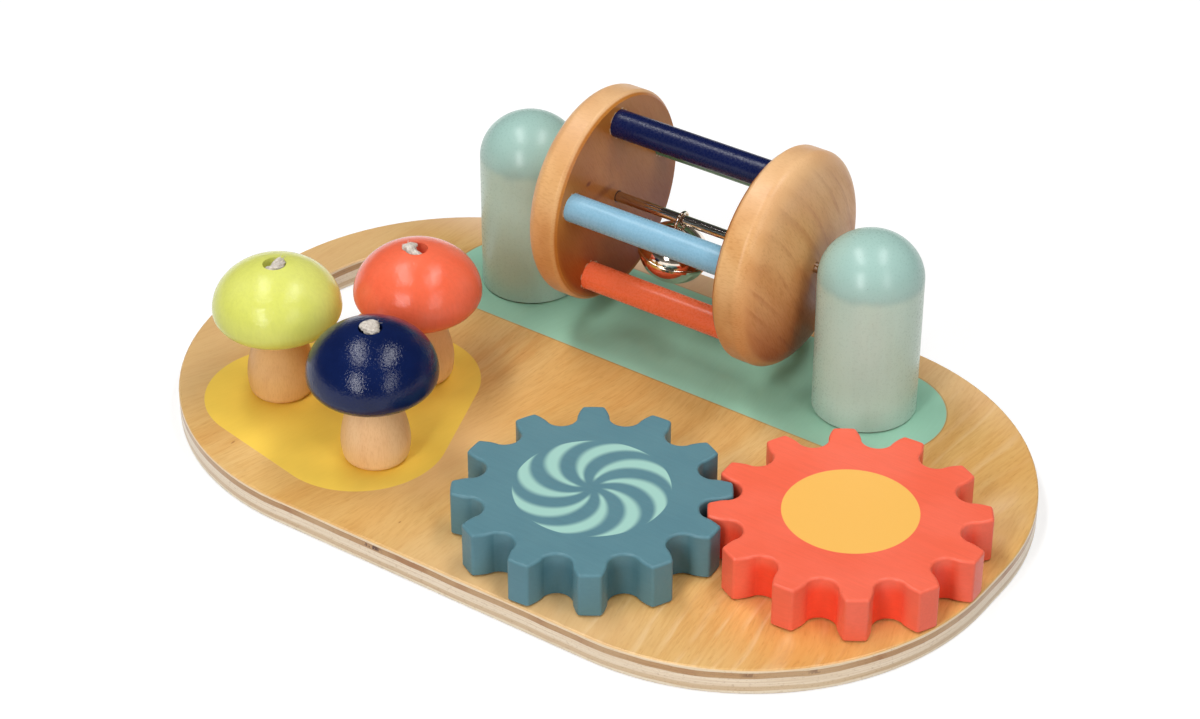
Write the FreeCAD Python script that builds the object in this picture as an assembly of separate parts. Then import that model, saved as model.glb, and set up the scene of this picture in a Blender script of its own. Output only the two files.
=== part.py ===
import FreeCAD, Part
import math
import os

from FreeCAD import Vector

# Wooden activity board for a toddler: a plywood base with a grip slot, two meshing gears on
# wooden pegs, a barrel of painted dowels that spins on a steel rod between two posts with a
# jingle bell inside it, and three mushrooms threaded on elastic cords.
# Millimetres. The origin is at the board's centre on its underside: +X runs along the board
# towards the gear end, +Y towards the barrel, +Z up.

# --- Clearances -------------------------------------------------------------
running_gap = 0.08      # radial, between a shaft and the bore that it turns in
glue_gap = 0.03         # radial, between a glued or driven piece and its hole
seat_gap = 0.3          # between faces that slide past each other

# --- Board ------------------------------------------------------------------
board_length = 299.0
board_width = 190.0
board_thickness = 9.5
board_end_straight = 14.0       # flat stretch at each end, between the large round corners
board_edge_round = 0.8

grip_rim = 18.0         # wood left between the grip slot and the board's edge
grip_width = 26.0
grip_front_angle = -10.0    # the slot's ends, seen from the centre of the board's rounded
grip_back_angle = 31.0      # corner: degrees from -X towards the back

# --- Posts and the steel rod between them -----------------------------------
post_radius = 17.6
post_height = 66.2
post_dome_height = 16.0
post_spacing = 136.9
post_shift = -0.7           # the posts' middle, along the board
post_line_inset = 36.5      # from the board's back edge
post_foot_chamfer = 0.6

rod_radius = 1.8
rod_height = 46.5           # the rod's centre above the board's top face
rod_socket_depth = 12.0

post_screw_radius = 2.2
post_screw_length = 36.0
post_screw_head_radius = 4.4
post_screw_head_depth = 3.2

# --- Barrel -----------------------------------------------------------------
disc_radius = 37.6
disc_thickness = 17.4       # at the rod, where the outer side swells most
disc_inner_bevel = 1.6
disc_bevel_round = 0.5
disc_rim_width = 8.0        # from the flat inner face to the soft outer shoulder
disc_shoulder_drop = 6.6    # across the rod
disc_swell = 3.7            # how far the outer side bulges beyond its shoulder
disc_spacing = 61.8         # between the discs' flat inner faces
barrel_shift = -0.8         # the barrel's middle, along the rod from the posts' middle

barrel_dowel_radius = 4.9
barrel_dowel_inset = 8.95   # from the disc's rim to the dowels' centres
barrel_dowel_socket = 6.0
barrel_dowel_end_gap = 0.2
barrel_first_angle = 18.7   # from the front of the barrel, upwards
barrel_dowel_colours = ["light_blue", "navy", "green", "yellow", "coral"]

# --- Bell -------------------------------------------------------------------
ring_radius = 3.4           # centre line of the wire ring that hangs on the rod
ring_wire_radius = 0.6
bell_radius = 12.0
bell_wall = 0.6
bell_place = -4.6           # along the rod, from the barrel's middle
bell_lean = 8.0             # degrees, sideways along the rod
bell_swing_at_rest = 7.0    # degrees, towards the front
bell_eye_radius = 1.3
bell_eye_spacing = 3.9
bell_bridge_gap = 0.12      # between the ring and the strip of shell that hangs on it
bell_seam_height = 1.2
bell_seam_overhang = 0.5
bell_sound_slot_width = 1.5
bell_sound_slot_length = 15.0
bell_pellet_radius = 2.4

# --- Gears ------------------------------------------------------------------
gear_teeth = 12
gear_centre_distance = 81.3
gear_tip_radius = 44.5
gear_root_radius = 35.0
gear_pressure_angle = 20.0
gear_backlash = 0.6         # taken off each tooth's thickness on the pitch circle
gear_thickness = 15.4
gear_lift = 0.7             # the gears' undersides above the board
tooth_tip_round = 1.2       # the teeth's corners, seen from above
tooth_root_round = 2.0
gear_edge_round = 0.9       # along the top edge of the whole outline
gear_line_angle = 26.2      # degrees, the line from the front gear to the end gear
gear_mesh_turn = 7.8        # degrees, the front gear's nearest tooth past that line
gear_front_margin = 0.6     # the front gear's teeth inside the board's front edge

peg_radius = 6.0
peg_depth_in_gear = 11.0
washer_radius = 10.0
washer_thickness = 1.0
washer_pocket_depth = 5.0
washer_pocket_gap = 2.0
gear_screw_radius = 1.8
gear_screw_length = 12.0
gear_screw_head_radius = 4.0
gear_screw_head_height = 2.4

# --- Mushrooms --------------------------------------------------------------
cap_radius = 21.6
cap_dome_height = 17.0
cap_belly_drop = 6.8        # from the cap's widest level down to its underside
cap_belly_width = 9.5       # how far the rounded lower edge reaches in
cap_widest_level = 32.8     # above the stem's foot
cap_socket_depth = 3.0
cap_knot_pocket_radius = 3.9
cap_knot_pocket_depth = 4.2

stem_foot_radius = 10.0
stem_foot_round = 3.2
stem_belly_radius = 11.5
stem_belly_level = 6.5
stem_neck_radius = 8.2

cord_radius = 1.5
cord_bore_radius = 2.1
knot_radius = 3.3
knot_height = 4.8
under_knot_radius = 3.8
under_knot_height = 3.4
knot_pocket_radius = 6.0
knot_pocket_depth = 4.6

trio_front_inset = 55.6     # the middle of the three mushrooms, from the board's front edge
trio_cap_gap = 3.9          # between the two caps that stand closest
trio_gear_gap = 14.9        # between the navy cap and the front gear's teeth
trio_angles = {"lime": 192.4, "coral": 79.8, "navy": 320.5}

# --- Places worked out from the sizes ----------------------------------------
board_top = board_thickness
board_corner_radius = (board_width - board_end_straight) / 2
post_line_y = board_width / 2 - post_line_inset
rod_z = board_top + rod_height
barrel_middle = post_shift + barrel_shift
barrel_dowel_ring = disc_radius - barrel_dowel_inset
cage_radius = barrel_dowel_ring - barrel_dowel_radius

end_gear_x = board_length / 2 - gear_tip_radius
front_gear_y = gear_front_margin + gear_tip_radius - board_width / 2
line_turn = math.radians(gear_line_angle)
front_gear_x = end_gear_x - gear_centre_distance * math.cos(line_turn)
end_gear_y = front_gear_y + gear_centre_distance * math.sin(line_turn)
tooth_pitch_turn = 360.0 / gear_teeth

closest_pair_turn = min((a - b) % 360 for a in trio_angles.values()
                        for b in trio_angles.values() if a != b)
trio_radius = (cap_radius + trio_cap_gap / 2) / math.sin(math.radians(closest_pair_turn / 2))
navy_turn = math.radians(trio_angles["navy"])
trio_y = trio_front_inset - board_width / 2
navy_behind_gear = trio_y + trio_radius * math.sin(navy_turn) - front_gear_y
navy_from_gear = math.sqrt((gear_tip_radius + trio_gear_gap + cap_radius) ** 2 - navy_behind_gear ** 2)
trio_x = front_gear_x - navy_from_gear - trio_radius * math.cos(navy_turn)


# --- Small tools ------------------------------------------------------------
def line(start, end):
    return Part.LineSegment(Vector(*start), Vector(*end)).toShape()


def arc(start, middle, end):
    return Part.Arc(Vector(*start), Vector(*middle), Vector(*end)).toShape()


def soft_corner(start, corner, end):
    """Quarter-ellipse edge that is tangent to both legs of a corner."""
    reach = 0.5523
    first = Vector(*start)
    middle = Vector(*corner)
    last = Vector(*end)
    curve = Part.BezierCurve()
    curve.setPoles([first, first + (middle - first) * reach, last + (middle - last) * reach, last])
    return curve.toShape()


def lathe(edges):
    """Solid turned about the Z axis from a closed profile in the XZ plane."""
    profile = Part.Face(Part.Wire(edges))
    return profile.revolve(Vector(0, 0, 0), Vector(0, 0, 1), 360)


def cylinder(radius, bottom, top, x=0.0, y=0.0):
    return Part.makeCylinder(radius, top - bottom, Vector(x, y, bottom))


def flat_edges(solid, level):
    """Edges that lie wholly at one height."""
    def lies_flat(edge):
        box = edge.BoundBox
        return box.ZLength < 0.001 and abs(box.ZMin - level) < 0.001
    return [edge for edge in solid.Edges if lies_flat(edge)]


def moved(shape, x, y, z=0.0):
    copy = shape.copy()
    copy.translate(Vector(x, y, z))
    return copy


def save(name, shape):
    shape.exportStep("parts/" + name + ".step")


# --- Board ------------------------------------------------------------------
def corner_arc(x, y, radius, middle_angle):
    """Quarter circle about a corner's centre, given by its middle direction in degrees."""
    ends = [math.radians(middle_angle + turn) for turn in (-45, 0, 45)]
    start, middle, end = [Vector(x + radius * math.cos(a), y + radius * math.sin(a), 0) for a in ends]
    return Part.Arc(start, middle, end).toShape()


def board_outline():
    x = board_length / 2 - board_corner_radius
    y = board_width / 2 - board_corner_radius
    half_length = board_length / 2
    half_width = board_width / 2
    edges = [
        corner_arc(x, y, board_corner_radius, 45),
        line((x, half_width, 0), (-x, half_width, 0)),
        corner_arc(-x, y, board_corner_radius, 135),
        line((-half_length, y, 0), (-half_length, -y, 0)),
        corner_arc(-x, -y, board_corner_radius, 225),
        line((-x, -half_width, 0), (x, -half_width, 0)),
        corner_arc(x, -y, board_corner_radius, 315),
        line((half_length, -y, 0), (half_length, y, 0)),
    ]
    return Part.Wire(Part.__sortEdges__(edges))


def grip_outline():
    """Bean-shaped slot, concentric with the board's back left corner."""
    centre = Vector(board_corner_radius - board_length / 2, board_width / 2 - board_corner_radius, 0)
    outer = board_corner_radius - grip_rim
    inner = outer - grip_width
    middle = (outer + inner) / 2

    def spot(radius, angle):
        turn = math.radians(180 - angle)
        return centre + Vector(radius * math.cos(turn), radius * math.sin(turn), 0)

    def end_cap(angle, side):
        bulge = math.degrees(grip_width / 2 / middle) * side
        return Part.Arc(spot(outer, angle), spot(middle, angle + bulge), spot(inner, angle)).toShape()

    half_way = (grip_front_angle + grip_back_angle) / 2

    def long_side(radius):
        ends = (grip_front_angle, half_way, grip_back_angle)
        return Part.Arc(*[spot(radius, angle) for angle in ends]).toShape()

    edges = [
        long_side(outer),
        end_cap(grip_back_angle, 1),
        long_side(inner),
        end_cap(grip_front_angle, -1),
    ]
    return Part.Wire(Part.__sortEdges__(edges))


def make_board():
    plank = Part.Face(board_outline()).extrude(Vector(0, 0, board_thickness))
    slot = Part.Face(grip_outline()).extrude(Vector(0, 0, board_thickness))
    plank = plank.cut(slot)
    rims = flat_edges(plank, 0) + flat_edges(plank, board_top)
    board = plank.makeFillet(board_edge_round, rims)
    holes = []
    for x, y in ((front_gear_x, front_gear_y), (end_gear_x, end_gear_y)):
        holes.append(cylinder(peg_radius + running_gap, 0, board_top, x, y))
        holes.append(cylinder(washer_radius + washer_pocket_gap, 0, washer_pocket_depth, x, y))
    for x, y in mushroom_spots().values():
        holes.append(cylinder(cord_bore_radius, 0, board_top, x, y))
        holes.append(cylinder(knot_pocket_radius, 0, knot_pocket_depth, x, y))
    for side in (-1, 1):
        holes.append(moved(post_screw_shape(glue_gap), post_x(side), post_line_y))
    return board.cut(Part.makeCompound(holes))


# --- Posts, rod and screws ---------------------------------------------------
def post_x(side):
    """A post's place along the board: -1 is the mushroom end, 1 the gear end."""
    return post_shift + side * post_spacing / 2


def post_screw_shape(allowance):
    """Countersunk screw standing on its head at the origin; an allowance makes it a cutter."""
    head = post_screw_head_radius + allowance
    shank = post_screw_radius + allowance
    top = post_screw_length + allowance
    point = post_screw_radius * 1.5
    edges = [
        line((0, 0, 0), (head, 0, 0)),
        line((head, 0, 0), (shank, 0, post_screw_head_depth)),
        line((shank, 0, post_screw_head_depth), (shank, 0, top - point)),
        line((shank, 0, top - point), (0, 0, top)),
        line((0, 0, top), (0, 0, 0)),
    ]
    return lathe(edges)


def make_post(side):
    """Domed post with a blind socket for the rod in its inner face."""
    shoulder = post_height - post_dome_height
    foot = post_radius - post_foot_chamfer
    edges = [
        line((0, 0, 0), (foot, 0, 0)),
        line((foot, 0, 0), (post_radius, 0, post_foot_chamfer)),
        line((post_radius, 0, post_foot_chamfer), (post_radius, 0, shoulder)),
        soft_corner((post_radius, 0, shoulder), (post_radius, 0, post_height), (0, 0, post_height)),
        line((0, 0, post_height), (0, 0, 0)),
    ]
    post = moved(lathe(edges), post_x(side), post_line_y, board_top)
    screw_hole = moved(post_screw_shape(glue_gap), post_x(side), post_line_y)
    return post.cut(Part.makeCompound([rod_shape(glue_gap), screw_hole]))


def rod_shape(allowance):
    """Steel rod from one post's socket to the other; an allowance makes it a cutter."""
    reach = post_spacing / 2 - post_radius + rod_socket_depth + allowance
    start = Vector(post_shift - reach, post_line_y, rod_z)
    return Part.makeCylinder(rod_radius + allowance, 2 * reach, start, Vector(1, 0, 0))


def make_post_screws():
    screws = [moved(post_screw_shape(0), post_x(side), post_line_y) for side in (-1, 1)]
    return Part.makeCompound(screws)


# --- Barrel -----------------------------------------------------------------
def barrel_dowel_spot(index):
    """Offset of one dowel from the rod, across the barrel: towards the back, and up."""
    step = 360.0 / len(barrel_dowel_colours)
    turn = math.radians(barrel_first_angle + index * step)
    return -barrel_dowel_ring * math.cos(turn), barrel_dowel_ring * math.sin(turn)


def barrel_dowel_shape(index, allowance, end_gap):
    back, up = barrel_dowel_spot(index)
    reach = disc_spacing / 2 + barrel_dowel_socket - end_gap
    start = Vector(barrel_middle - reach, post_line_y + back, rod_z + up)
    return Part.makeCylinder(barrel_dowel_radius + allowance, 2 * reach, start, Vector(1, 0, 0))


def make_disc(side):
    """Turned disc: flat and bevelled inside, with a soft shoulder and a gentle swell outside."""
    flat = disc_radius - disc_inner_bevel
    bevel_end = disc_radius - disc_bevel_round
    shoulder_end = disc_radius - disc_shoulder_drop
    shoulder_level = disc_thickness - disc_swell
    swell_radius = (shoulder_end ** 2 + disc_swell ** 2) / (2 * disc_swell)
    swell_slope = math.tan(math.asin(shoulder_end / swell_radius))
    shoulder_corner = shoulder_level - disc_shoulder_drop * swell_slope
    halfway = shoulder_end / 2
    halfway_level = disc_thickness - swell_radius + math.sqrt(swell_radius ** 2 - halfway ** 2)
    edges = [
        line((0, 0, 0), (flat, 0, 0)),
        line((flat, 0, 0), (bevel_end, 0, disc_inner_bevel - disc_bevel_round)),
        soft_corner((bevel_end, 0, disc_inner_bevel - disc_bevel_round),
                    (disc_radius, 0, disc_inner_bevel),
                    (disc_radius, 0, disc_inner_bevel + disc_bevel_round)),
        line((disc_radius, 0, disc_inner_bevel + disc_bevel_round), (disc_radius, 0, disc_rim_width)),
        soft_corner((disc_radius, 0, disc_rim_width), (disc_radius, 0, shoulder_corner),
                    (shoulder_end, 0, shoulder_level)),
        arc((shoulder_end, 0, shoulder_level), (halfway, 0, halfway_level), (0, 0, disc_thickness)),
        line((0, 0, disc_thickness), (0, 0, 0)),
    ]
    disc = lathe(edges)
    disc.rotate(Vector(0, 0, 0), Vector(0, 1, 0), side * 90)
    disc = moved(disc, barrel_middle + side * disc_spacing / 2, post_line_y, rod_z)
    cutters = [rod_shape(running_gap)]
    for index in range(len(barrel_dowel_colours)):
        cutters.append(barrel_dowel_shape(index, glue_gap, 0))
    return disc.cut(Part.makeCompound(cutters))


# --- Bell -------------------------------------------------------------------
# Made hanging straight down from a rod through the origin, then leaned and put in place.
ring_inner_radius = ring_radius - ring_wire_radius
ring_drop = ring_inner_radius - rod_radius - running_gap
bell_top = -(ring_drop + ring_inner_radius) + bell_bridge_gap + bell_wall
bell_bottom = seat_gap - cage_radius
bell_half_height = (bell_top - bell_bottom) / 2
bell_middle = (bell_top + bell_bottom) / 2


def hang_on_rod(shape):
    """Turn a piece of the bell from hanging straight down to its place on the rod."""
    hung = shape.copy()
    hung.rotate(Vector(0, 0, 0), Vector(0, 1, 0), bell_lean)
    hung.rotate(Vector(0, 0, 0), Vector(1, 0, 0), -bell_swing_at_rest)
    return moved(hung, barrel_middle + bell_place, post_line_y, rod_z)


def bell_dome(side):
    """Half of the bell's hollow body: side +1 is the crown, -1 the lower half."""
    inner_radius = bell_radius - bell_wall
    outer = side * bell_half_height
    inner = side * (bell_half_height - bell_wall)
    edges = [
        line((bell_radius, 0, 0), (inner_radius, 0, 0)),
        soft_corner((inner_radius, 0, 0), (inner_radius, 0, inner), (0, 0, inner)),
        line((0, 0, inner), (0, 0, outer)),
        soft_corner((0, 0, outer), (bell_radius, 0, outer), (bell_radius, 0, 0)),
    ]
    return moved(lathe(edges), 0, 0, bell_middle)


def make_bell_crown():
    """Upper half, with two eyes that the ring passes through under a narrow bridge."""
    eyes = [
        cylinder(bell_eye_radius, bell_middle, 0, 0, side * bell_eye_spacing / 2)
        for side in (-1, 1)
    ]
    return bell_dome(1).cut(Part.makeCompound(eyes))


def make_bell_bowl():
    """Lower half, with the rolled seam and the crossed sound slots."""
    seam = cylinder(bell_radius + bell_seam_overhang, bell_middle - bell_seam_height, bell_middle)
    hollow = cylinder(bell_radius - bell_wall / 2, bell_middle - bell_seam_height, bell_middle)
    rolled = seam.cut(hollow)
    rolled = rolled.makeFillet(bell_seam_overhang * 0.8, flat_edges(rolled, bell_middle)[:1])
    bowl = bell_dome(-1).fuse(rolled)
    long = bell_sound_slot_length
    wide = bell_sound_slot_width
    level = bell_bottom - bell_wall
    tall = bell_half_height
    slots = [
        Part.makeBox(long, wide, tall, Vector(-long / 2, -wide / 2, level)),
        Part.makeBox(wide, long, tall, Vector(-wide / 2, -long / 2, level)),
    ]
    for x, y in ((long, 0), (-long, 0), (0, long), (0, -long)):
        slots.append(cylinder(wide, level, level + tall, x / 2, y / 2))
    return bowl.cut(Part.makeCompound(slots))


def make_bell_ring():
    return Part.makeTorus(ring_radius, ring_wire_radius, Vector(0, 0, -ring_drop), Vector(1, 0, 0))


def make_bell_pellet():
    floor = bell_bottom + bell_wall
    return Part.makeSphere(bell_pellet_radius, Vector(0, 0, floor + bell_pellet_radius))


# --- Gears ------------------------------------------------------------------
pitch_radius = gear_centre_distance / 2
base_radius = pitch_radius * math.cos(math.radians(gear_pressure_angle))


def involute(radius):
    """Angle, in radians, that an involute flank has swept between the base circle and a radius."""
    pressure = math.acos(min(1.0, base_radius / radius))
    return math.tan(pressure) - pressure


def tooth_half_angle(radius):
    tooth_thickness = math.pi * pitch_radius / gear_teeth - gear_backlash
    return tooth_thickness / 2 / pitch_radius + involute(pitch_radius) - involute(radius)


def gear_outline(flank_points=5):
    """Involute teeth with round gaps between them; the first tooth points along +X."""
    rise = (gear_tip_radius - base_radius) / (flank_points - 1)
    radii = [base_radius + rise * step for step in range(flank_points)]

    def polar(radius, angle):
        return Vector(radius * math.cos(angle), radius * math.sin(angle), 0)

    edges = []
    for tooth in range(gear_teeth):
        centre = math.radians(tooth * tooth_pitch_turn)
        gap = centre + math.radians(tooth_pitch_turn / 2)
        up = [polar(radius, centre - tooth_half_angle(radius)) for radius in radii]
        down = [polar(radius, centre + tooth_half_angle(radius)) for radius in reversed(radii)]
        next_root = polar(base_radius, 2 * gap - centre - tooth_half_angle(base_radius))
        for points in (up, down):
            flank = Part.BSplineCurve()
            flank.interpolate(points)
            edges.append(flank.toShape())
        edges.append(Part.Arc(up[-1], polar(gear_tip_radius, centre), down[0]).toShape())
        edges.append(Part.Arc(down[-1], polar(gear_root_radius, gap), next_root).toShape())
    return Part.Wire(Part.__sortEdges__(edges))


gear_bottom = board_top + gear_lift
peg_foot = washer_pocket_depth - seat_gap
peg_top = gear_bottom + peg_depth_in_gear


def upright_edges(solid, radius):
    """Straight vertical edges at one distance from the Z axis."""
    def stands_there(edge):
        box = edge.BoundBox
        upright = max(box.XLength, box.YLength) < 0.001
        return upright and abs(math.hypot(box.XMin, box.YMin) - radius) < 0.01
    return [edge for edge in solid.Edges if stands_there(edge)]


def make_gear(x, y, first_tooth_angle):
    gear = Part.Face(gear_outline()).extrude(Vector(0, 0, gear_thickness))
    gear = gear.makeFillet(tooth_tip_round, upright_edges(gear, gear_tip_radius))
    gear = gear.makeFillet(tooth_root_round, upright_edges(gear, base_radius))
    gear = gear.makeFillet(gear_edge_round, flat_edges(gear, gear_thickness))
    gear.rotate(Vector(0, 0, 0), Vector(0, 0, 1), first_tooth_angle)
    socket = cylinder(peg_radius + glue_gap, 0, peg_depth_in_gear + glue_gap)
    return moved(gear.cut(socket), x, y, gear_bottom)


def make_peg(x, y):
    """Wooden shaft glued into the gear, drilled from below for the screw."""
    peg = cylinder(peg_radius, peg_foot, peg_top, x, y)
    drill = cylinder(gear_screw_radius + glue_gap, peg_foot, peg_foot + gear_screw_length, x, y)
    return peg.cut(drill)


def make_washer(x, y):
    bottom = peg_foot - washer_thickness
    washer = cylinder(washer_radius, bottom, peg_foot, x, y)
    return washer.cut(cylinder(gear_screw_radius + glue_gap, bottom, peg_foot, x, y))


def make_gear_screw(x, y):
    under_washer = peg_foot - washer_thickness
    head_bottom = under_washer - gear_screw_head_height
    head = cylinder(gear_screw_head_radius, head_bottom, under_washer, x, y)
    head = head.makeFillet(gear_screw_head_height / 2, flat_edges(head, head_bottom))
    shank = cylinder(gear_screw_radius, under_washer, peg_foot + gear_screw_length - glue_gap, x, y)
    return head.fuse(shank)


# --- Mushrooms --------------------------------------------------------------
def mushroom_spots():
    """Centre of each mushroom on the board, by colour."""
    spots = {}
    for colour, angle in trio_angles.items():
        turn = math.radians(angle)
        x = trio_x + trio_radius * math.cos(turn)
        y = trio_y + trio_radius * math.sin(turn)
        spots[colour] = (x, y)
    return spots


foot_level = board_top + seat_gap
cap_underside = cap_widest_level - cap_belly_drop
cap_top = cap_widest_level + cap_dome_height
stem_top = cap_underside + cap_socket_depth - seat_gap


def make_stem():
    """Pear-shaped turned stem, standing on its foot at the origin."""
    spline = Part.BSplineCurve()
    knee = Vector(stem_foot_radius + stem_foot_round * 0.35, 0, stem_foot_round)
    belly = Vector(stem_belly_radius, 0, stem_belly_level)
    waist = Vector((stem_belly_radius + stem_neck_radius) / 2, 0, (stem_belly_level + cap_underside) / 2)
    neck = Vector(stem_neck_radius, 0, cap_underside)
    spline.interpolate([knee, belly, waist, neck])
    foot = (stem_foot_radius - stem_foot_round * 0.35, 0, 0)
    edges = [
        line((cord_bore_radius, 0, 0), foot),
        soft_corner(foot, (knee.x, 0, 0), (knee.x, 0, knee.z)),
        spline.toShape(),
        line((neck.x, 0, neck.z), (neck.x, 0, stem_top)),
        line((neck.x, 0, stem_top), (cord_bore_radius, 0, stem_top)),
        line((cord_bore_radius, 0, stem_top), (cord_bore_radius, 0, 0)),
    ]
    return lathe(edges)


def make_cap():
    """Domed cap over a rounded lower edge, with a seat for the stem and a pocket for the knot."""
    inner_flat = cap_radius - cap_belly_width
    bottom_rim = (inner_flat, 0, cap_underside)
    widest = (cap_radius, 0, cap_widest_level)
    socket_radius = stem_neck_radius + running_gap
    socket_top = cap_underside + cap_socket_depth
    pocket_floor = cap_top - cap_knot_pocket_depth
    edges = [
        line((0, 0, cap_underside), bottom_rim),
        soft_corner(bottom_rim, (cap_radius, 0, cap_underside), widest),
        soft_corner(widest, (cap_radius, 0, cap_top), (0, 0, cap_top)),
        line((0, 0, cap_top), (0, 0, cap_underside)),
    ]
    cutters = [
        cylinder(socket_radius, cap_underside, socket_top),
        cylinder(cord_bore_radius, cap_underside, cap_top),
        cylinder(cap_knot_pocket_radius, pocket_floor, cap_top),
    ]
    return lathe(edges).cut(Part.makeCompound(cutters))


def make_knot(radius, height, bottom):
    """Plain round lump of the knot's size, sitting on a flat floor."""
    middle = bottom + height / 2
    edges = [
        line((0, 0, bottom), (radius / 2, 0, bottom)),
        soft_corner((radius / 2, 0, bottom), (radius, 0, bottom), (radius, 0, middle)),
        soft_corner((radius, 0, middle), (radius, 0, bottom + height), (0, 0, bottom + height)),
        line((0, 0, bottom + height), (0, 0, bottom)),
    ]
    return lathe(edges)


# --- Write every piece --------------------------------------------------------
os.makedirs("parts", exist_ok=True)

save("base_board", make_board())
save("post_left", make_post(-1))
save("post_right", make_post(1))
save("post_screws", make_post_screws())
save("steel_rod", rod_shape(0))

save("barrel_disc_left", make_disc(-1))
save("barrel_disc_right", make_disc(1))
for number, colour in enumerate(barrel_dowel_colours):
    save("barrel_dowel_" + colour, barrel_dowel_shape(number, 0, barrel_dowel_end_gap))

save("bell_ring", hang_on_rod(make_bell_ring()))
save("bell_crown", hang_on_rod(make_bell_crown()))
save("bell_bowl", hang_on_rod(make_bell_bowl()))
save("bell_pellet", hang_on_rod(make_bell_pellet()))

front_tooth = gear_line_angle + gear_mesh_turn
end_tooth = gear_line_angle + 180 - gear_mesh_turn + tooth_pitch_turn / 2
gears = {
    "front": (front_gear_x, front_gear_y, front_tooth),
    "end": (end_gear_x, end_gear_y, end_tooth),
}
for place, (gear_x, gear_y, tooth) in gears.items():
    save("gear_" + place, make_gear(gear_x, gear_y, tooth))
    save("gear_peg_" + place, make_peg(gear_x, gear_y))
    save("gear_washer_" + place, make_washer(gear_x, gear_y))
    save("gear_screw_" + place, make_gear_screw(gear_x, gear_y))

for colour, (spot_x, spot_y) in mushroom_spots().items():
    pocket_floor = foot_level + cap_top - cap_knot_pocket_depth
    under_knot_bottom = knot_pocket_depth - under_knot_height
    cord = cylinder(cord_radius, knot_pocket_depth, pocket_floor)
    pieces = {
        "mushroom_stem_": moved(make_stem(), 0, 0, foot_level),
        "mushroom_cap_": moved(make_cap(), 0, 0, foot_level),
        "mushroom_knot_": make_knot(knot_radius, knot_height, pocket_floor),
        "mushroom_cord_": cord,
        "under_knot_": make_knot(under_knot_radius, under_knot_height, under_knot_bottom),
    }
    for name, piece in pieces.items():
        save(name + colour, moved(piece, spot_x, spot_y))
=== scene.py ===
import math
import random

import bmesh
import bpy
from mathutils import Matrix, Vector


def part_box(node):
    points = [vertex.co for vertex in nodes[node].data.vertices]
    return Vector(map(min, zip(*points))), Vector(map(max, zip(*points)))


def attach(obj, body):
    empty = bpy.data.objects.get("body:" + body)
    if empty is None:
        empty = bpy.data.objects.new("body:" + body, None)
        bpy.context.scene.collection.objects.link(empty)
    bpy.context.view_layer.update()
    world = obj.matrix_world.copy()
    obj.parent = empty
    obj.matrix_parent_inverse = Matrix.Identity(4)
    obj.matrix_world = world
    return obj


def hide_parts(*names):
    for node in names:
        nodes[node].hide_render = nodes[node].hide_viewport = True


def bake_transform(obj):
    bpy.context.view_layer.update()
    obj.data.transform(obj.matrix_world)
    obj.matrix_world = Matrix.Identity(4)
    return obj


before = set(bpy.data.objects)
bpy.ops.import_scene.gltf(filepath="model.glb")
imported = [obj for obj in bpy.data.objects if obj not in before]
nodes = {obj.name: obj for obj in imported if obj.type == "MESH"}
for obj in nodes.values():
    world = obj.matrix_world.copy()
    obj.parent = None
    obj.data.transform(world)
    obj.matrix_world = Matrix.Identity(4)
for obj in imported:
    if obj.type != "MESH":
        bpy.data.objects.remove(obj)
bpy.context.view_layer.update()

# Wooden activity board: looks for every piece, in metres, in the same frame as the solids.
MM = 0.001
WHITE = (1.0, 1.0, 1.0, 1.0)


def srgb(red, green, blue):
    """A colour picked as 0-255 screen values, as the linear colour that shaders take."""
    def channel(value):
        value /= 255
        return value / 12.92 if value <= 0.04045 else ((value + 0.055) / 1.055) ** 2.4
    return (channel(red), channel(green), channel(blue), 1.0)


# ---------------------------------------------------------------------------
# Sizes and places that finishes and pieces share, in millimetres
# ---------------------------------------------------------------------------
def middle(name):
    """Middle of the box round a CAD node."""
    low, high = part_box(name)
    return (low + high) / (2 * MM)


def top_of(name):
    """Height of a CAD node's highest point."""
    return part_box(name)[1].z / MM


BOARD_TOP = top_of("base_board")
GEAR_TOP = top_of("gear_front")
GEAR_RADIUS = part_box("gear_front")[1].x / MM - middle("gear_front").x
FRONT_GEAR = middle("gear_washer_front")
END_GEAR = middle("gear_washer_end")
BARREL_AXLE = middle("steel_rod")
DISC_RADIUS = top_of("barrel_disc_left") - BARREL_AXLE.z
LEFT_DISC_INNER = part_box("barrel_disc_left")[1].x / MM
RIGHT_DISC_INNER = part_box("barrel_disc_right")[0].x / MM
DOWEL_RADIUS = top_of("barrel_dowel_navy") - middle("barrel_dowel_navy").z

# where the posts' domes start, and where the caps' holes open
POST_DOME_FOOT = 59.7
CAP_HOLE_TOP = 59.6

# how far a printed edge is softened each way, and how far round to the right the camera stands
PRINT_EDGE = 0.12
VIEW_TURN = math.radians(34.66)


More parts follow.
